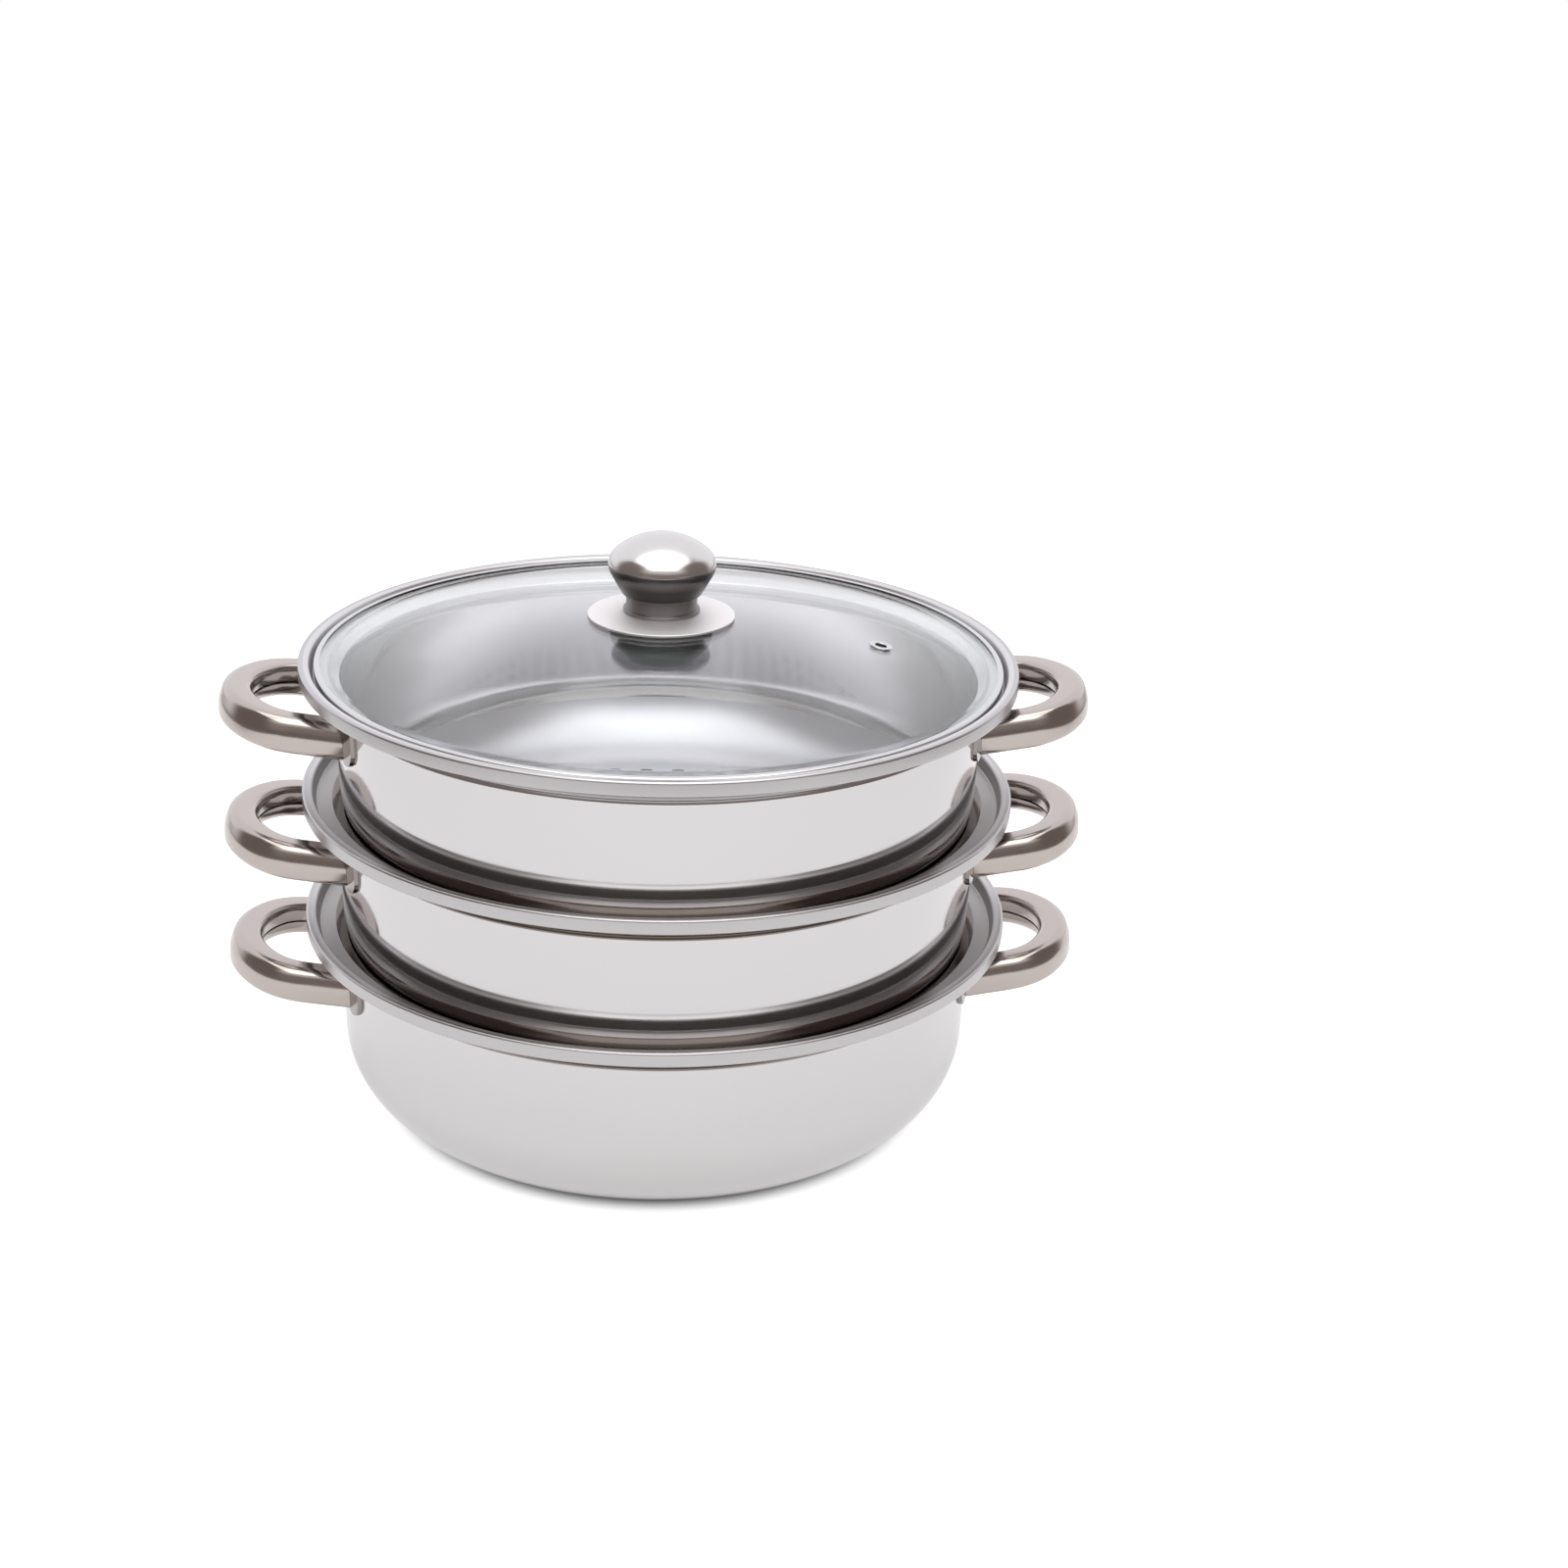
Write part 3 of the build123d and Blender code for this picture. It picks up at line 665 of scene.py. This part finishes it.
knob = {
    "washer": 0.6,
    "disc": (30.8, 1.2, 17.0, 1.3, 30.0),    # radius, sheet, radius of the flat, fall of the edge, bend
    "collar": (14.8, 7.7, 16.0, 1.5, 0.6),   # radius, height, radius and height of its foot, bend
    "foot": 16.6, "widest": 22.4, "flank": 12.2, "cap": 13.2, "waistBend": 7.5, "seamDepth": 0.2,
    "bore": 3.05, "boreDepth": 14.3, "edgeBend": 0.4, "collarBends": (0.2, 0.3),
    "seamTurn": 0.03, "seamClear": 0.04,     # in radians, each way from the seam
}
discMiddle = crown + closeGap + knob["washer"] + closeGap
collarBottom = discMiddle + knob["disc"][1] + closeGap
knobBottom = collarBottom + knob["collar"][1] + closeGap
# the knob's flank and foot colours are painted shade, darker towards the foot
knobSteel = turnedSteel(
    "turned stainless steel", "#d2cfce", 0.22, flankShadeHex="#787573", footShadeHex="#393736",
    flankRoughness=0.3, seam=topFlange + knobBottom + knob["flank"], paintedShadeFade=7.0)


def makeDisc():
    radius, sheet, flat, fall, bend = knob["disc"]
    top = roundedLine([
        (lid["screwHole"], discMiddle + sheet, 0), (flat, discMiddle + sheet, bend),
        (radius, discMiddle + sheet - fall, 0)], arcStep=1.0)
    slope = (top[-1] - top[-2]).normalized()
    down = Vector((slope.y, -slope.x)) * sheet
    edgeBend = knob["edgeBend"]
    edge = roundedLine([
        (*top[-2], 0), (*top[-1], edgeBend), (*(top[-1] + down), edgeBend), (*(top[-2] + down), 0),
    ], arcStep=15)
    under = [Vector((p.x, p.y - sheet)) for p in top[:-2]]
    outline = top[:-2] + edge + under[::-1]
    piece = spinLine("knob_base_disc_polished", outline + outline[:1], steps=192)
    movePiece(piece, (0, 0, topFlange))
    smooth(piece)
    return piece


def makeCollar():
    radius, height, footRadius, footHeight, bend = knob["collar"]
    low, hole = collarBottom, lid["screwHole"]
    under, upper = knob["collarBends"]
    outline = roundedLine([
        (hole, low, 0), (footRadius, low, under), (footRadius, low + footHeight, bend),
        (radius, low + footHeight, upper), (radius, low + height, upper), (hole, low + height, 0),
    ], arcStep=15)
    piece = spinLine("knob_collar_polished", outline + outline[:1], steps=128)
    movePiece(piece, (0, 0, topFlange))
    smooth(piece)
    return piece


def makeKnob(capCount=16, bendCount=32):
    # a flat arc over the cap, a tight arc round the widest ring, and a straight flank down to the foot
    k = knob
    bend = k["waistBend"]
    waist = k["widest"] - bend
    crownBend = (waist ** 2 + k["cap"] ** 2 - bend ** 2) / (2 * (k["cap"] - bend))
    crownTurn = math.asin(waist / (crownBend - bend))
    reach = math.hypot(k["foot"] - waist, k["flank"])
    flankTurn = math.atan2(k["flank"], k["foot"] - waist) - math.acos(bend / reach)
    middle = knobBottom + k["flank"]
    top = middle + k["cap"]
    points = []
    for i in range(capCount + 1):
        angle = crownTurn * i / capCount
        height = top - crownBend + crownBend * math.cos(angle)
        points.append(Vector((crownBend * math.sin(angle), height)))
    for i in range(1, bendCount + 1):
        angle = math.pi / 2 - crownTurn - (math.pi / 2 - crownTurn + flankTurn) * i / bendCount
        last = math.asin((points[-1].y - middle) / bend)
        if angle < 0 <= last:
            # the seam's groove
            for turn, deep in ((k["seamTurn"], 0), (0, k["seamDepth"]), (-k["seamTurn"], 0)):
                across = waist + (bend - deep) * math.cos(turn)
                points.append(Vector((across, middle + bend * math.sin(turn))))
        if abs(angle) > k["seamClear"]:
            points.append(Vector((waist + bend * math.cos(angle), middle + bend * math.sin(angle))))
    foot = roundedLine([
        (*points[-1], 0), (k["foot"], knobBottom, k["edgeBend"]), (k["bore"], knobBottom, 0),
        (k["bore"], knobBottom + k["boreDepth"], 0), (0, knobBottom + k["boreDepth"], 0)], arcStep=15)
    piece = spinLine("knob_polished", points + foot[1:], steps=192)
    movePiece(piece, (0, 0, topFlange))
    smooth(piece)
    return piece


for piece, node, material in (
    (makeDisc(), "knob_base_disc", discSteelPaintedLight), (makeCollar(), "knob_collar", collarSteelShaded),
    (makeKnob(), "knob", knobSteel),
):
    finishPiece(piece, "lid", material, [node])
for node, material in (
    ("upper_seal_washer", silicone), ("lower_seal_washer", silicone), ("under_lid_cup", cupSteel),
    ("knob_screw", screwSteel),
):
    giveFinish(node, material)
print("knob made")

# camera: where it stands is worked out from the three flange ellipses of the photograph; focal, aim
# and frameSize are in the photograph's pixels, distance and sensor in mm

camera = {
    "elevation": 18.37, "roll": 0.98, "distance": 1125.0, "focal": 2733.0, "aim": (674.3, 666.8),
    "frameSize": 1600.0, "turn": 4.0, "sensor": 36.0,
}


def makeCamera():
    c = camera
    target = Vector((0, 0, topFlange)) * mm
    up, turn = math.radians(c["elevation"]), math.radians(c["turn"])
    away = Vector((-math.sin(turn) * math.cos(up), -math.cos(turn) * math.cos(up), math.sin(up)))
    bpy.ops.object.camera_add(location=target + away * c["distance"] * mm)
    piece = bpy.context.object
    piece.data.lens = c["focal"] / c["frameSize"] * c["sensor"]
    piece.data.sensor_width = c["sensor"]
    piece.data.clip_start = 0.01
    piece.data.clip_end = 100
    half = c["frameSize"] / 2
    # the target as the lens sees it
    seen = Vector((c["aim"][0] - half, half - c["aim"][1], -c["focal"]))
    towards = (-away).to_track_quat("-Z", "Y").to_matrix()
    rolled = Matrix.Rotation(math.radians(c["roll"]), 3, "Z")
    swung = Vector((0, 0, -1)).rotation_difference(seen).to_matrix().inverted()
    piece.rotation_euler = (towards @ rolled @ swung).to_euler()
    bpy.context.scene.camera = piece


makeCamera()
print("camera made")

# studio: a pale glowing table under a wide softbox, in a dim room with a pale wall behind and a pale
# screen high in front; lengths in metres, the painted contact shadow's radii in mm from the pot's axis,
# where the table's glow fades out; rises and turns say from where to where a screen fades in, as the
# parts of a direction that go upwards and towards the screen

studio = {
    "table": "#b8b8b8", "tableSize": (1.5, 2.6), "tableMiddle": (0, 0.4), "tableGlow": 0.56,
    "paperGlow": 0.26, "paintedShadowRadii": (106, 120),
    "softbox": (2.0, 2.1), "softboxPlace": (0, -0.67, 1.6), "softboxAim": 0.1, "softboxPower": 22,
    "softboxTint": "#ffffff",
    "room": "#827874",
    "wall": "#fbfbff", "wallStrength": 1.15, "backRise": (-0.35, 0.1), "backTurn": (0.25, 0.55),
    "front": "#fbf8f6", "frontStrength": 0.95, "frontRise": (0.0, 0.6), "frontTurn": (0.55, 0.85),
}


def step(tree, source, low, high):
    # 0 below low, 1 above high, smooth in between
    node = addNode(tree, "ShaderNodeMapRange", {"Value": source}, interpolation_type="SMOOTHSTEP")
    node.inputs["From Min"].default_value = low
    node.inputs["From Max"].default_value = high
    return node.outputs[0]


def makeTable():
    deselectAll()
    bpy.ops.mesh.primitive_plane_add(size=1, location=(*studio["tableMiddle"], 0))
    table = bpy.context.object
    table.name = "studio_table"
    table.scale = (*studio["tableSize"], 1)
    bpy.ops.object.transform_apply(location=True, scale=True)
    material, tree, shader = newMaterial(
        "pale matt table", Base_Color=colour(studio["table"]), Roughness=0.9, Specular_IOR_Level=0.0,
        Emission_Color=colour("#ffffff"))
    path = addNode(tree, "ShaderNodeLightPath")
    glow = addNode(tree, "ShaderNodeMath", {0: path.outputs["Is Camera Ray"]}, operation="MULTIPLY")
    glow.inputs[1].default_value = studio["paperGlow"]
    total = addNode(tree, "ShaderNodeMath", {0: glow.outputs[0]}, operation="ADD")
    total.inputs[1].default_value = studio["tableGlow"]
    place = addNode(tree, "ShaderNodeTexCoord")
    away = addNode(tree, "ShaderNodeVectorMath", {0: place.outputs["Object"]}, operation="LENGTH")
    # painted contact shadow: the glow fades out under the pot, between these radii from its axis
    paintedShadeFade = step(tree, away.outputs["Value"], *[radius * mm for radius in studio["paintedShadowRadii"]])
    lit = addNode(tree, "ShaderNodeMath", {0: total.outputs[0], 1: paintedShadeFade}, operation="MULTIPLY")
    tree.links.new(lit.outputs[0], shader.inputs["Emission Strength"])
    table.data.materials.append(material)


def addSoftbox():
    place = Vector(studio["softboxPlace"])
    target = Vector((0, place.y + studio["softboxAim"], 0))
    deselectAll()
    bpy.ops.object.light_add(type="AREA", location=place)
    light = bpy.context.object
    light.name = "overhead_softbox"
    light.data.shape = "RECTANGLE"
    light.data.size, light.data.size_y = studio["softbox"]
    light.data.energy = studio["softboxPower"]
    light.data.color = colour(studio["softboxTint"])[:3]
    light.rotation_euler = (target - place).to_track_quat("-Z", "Y").to_euler()


def makeWorld():
    world = bpy.data.worlds.new("studio")
    bpy.context.scene.world = world
    world.use_nodes = True
    tree = world.node_tree
    tree.nodes.clear()
    place = addNode(tree, "ShaderNodeTexCoord")
    way = addNode(tree, "ShaderNodeSeparateXYZ", {"Vector": place.outputs["Generated"]})
    level = addNode(tree, "ShaderNodeVectorMath", {0: place.outputs["Generated"]}, operation="MULTIPLY")
    level.inputs[1].default_value = (1, 1, 0)
    bearing = addNode(tree, "ShaderNodeVectorMath", {0: level.outputs[0]}, operation="NORMALIZE")
    turned = addNode(tree, "ShaderNodeSeparateXYZ", {"Vector": bearing.outputs[0]})
    ahead = addNode(tree, "ShaderNodeMath", {0: turned.outputs["Y"]}, operation="MULTIPLY")
    ahead.inputs[1].default_value = -1
    shade = colour(studio["room"])
    for turn, rise, name in (
        (step(tree, turned.outputs["Y"], *studio["backTurn"]), studio["backRise"], "wall"),
        (step(tree, ahead.outputs[0], *studio["frontTurn"]), studio["frontRise"], "front"),
    ):
        share = addNode(
            tree, "ShaderNodeMath", {0: turn, 1: step(tree, way.outputs["Z"], *rise)},
            operation="MULTIPLY")
        bright = [c * studio[name + "Strength"] for c in colour(studio[name])[:3]] + [1]
        shade = mixColour(tree, share.outputs[0], shade, bright)
    around = addNode(tree, "ShaderNodeBackground", {"Color": shade})
    paper = addNode(tree, "ShaderNodeBackground", Color=colour("#ffffff"))
    path = addNode(tree, "ShaderNodeLightPath")
    seen = addNode(
        tree, "ShaderNodeMixShader",
        {0: path.outputs["Is Camera Ray"], 1: around.outputs[0], 2: paper.outputs[0]})
    addNode(tree, "ShaderNodeOutputWorld", {"Surface": seen.outputs[0]})


makeTable()
addSoftbox()
makeWorld()
bpy.context.scene.view_settings.view_transform = "Standard"
print("studio made")
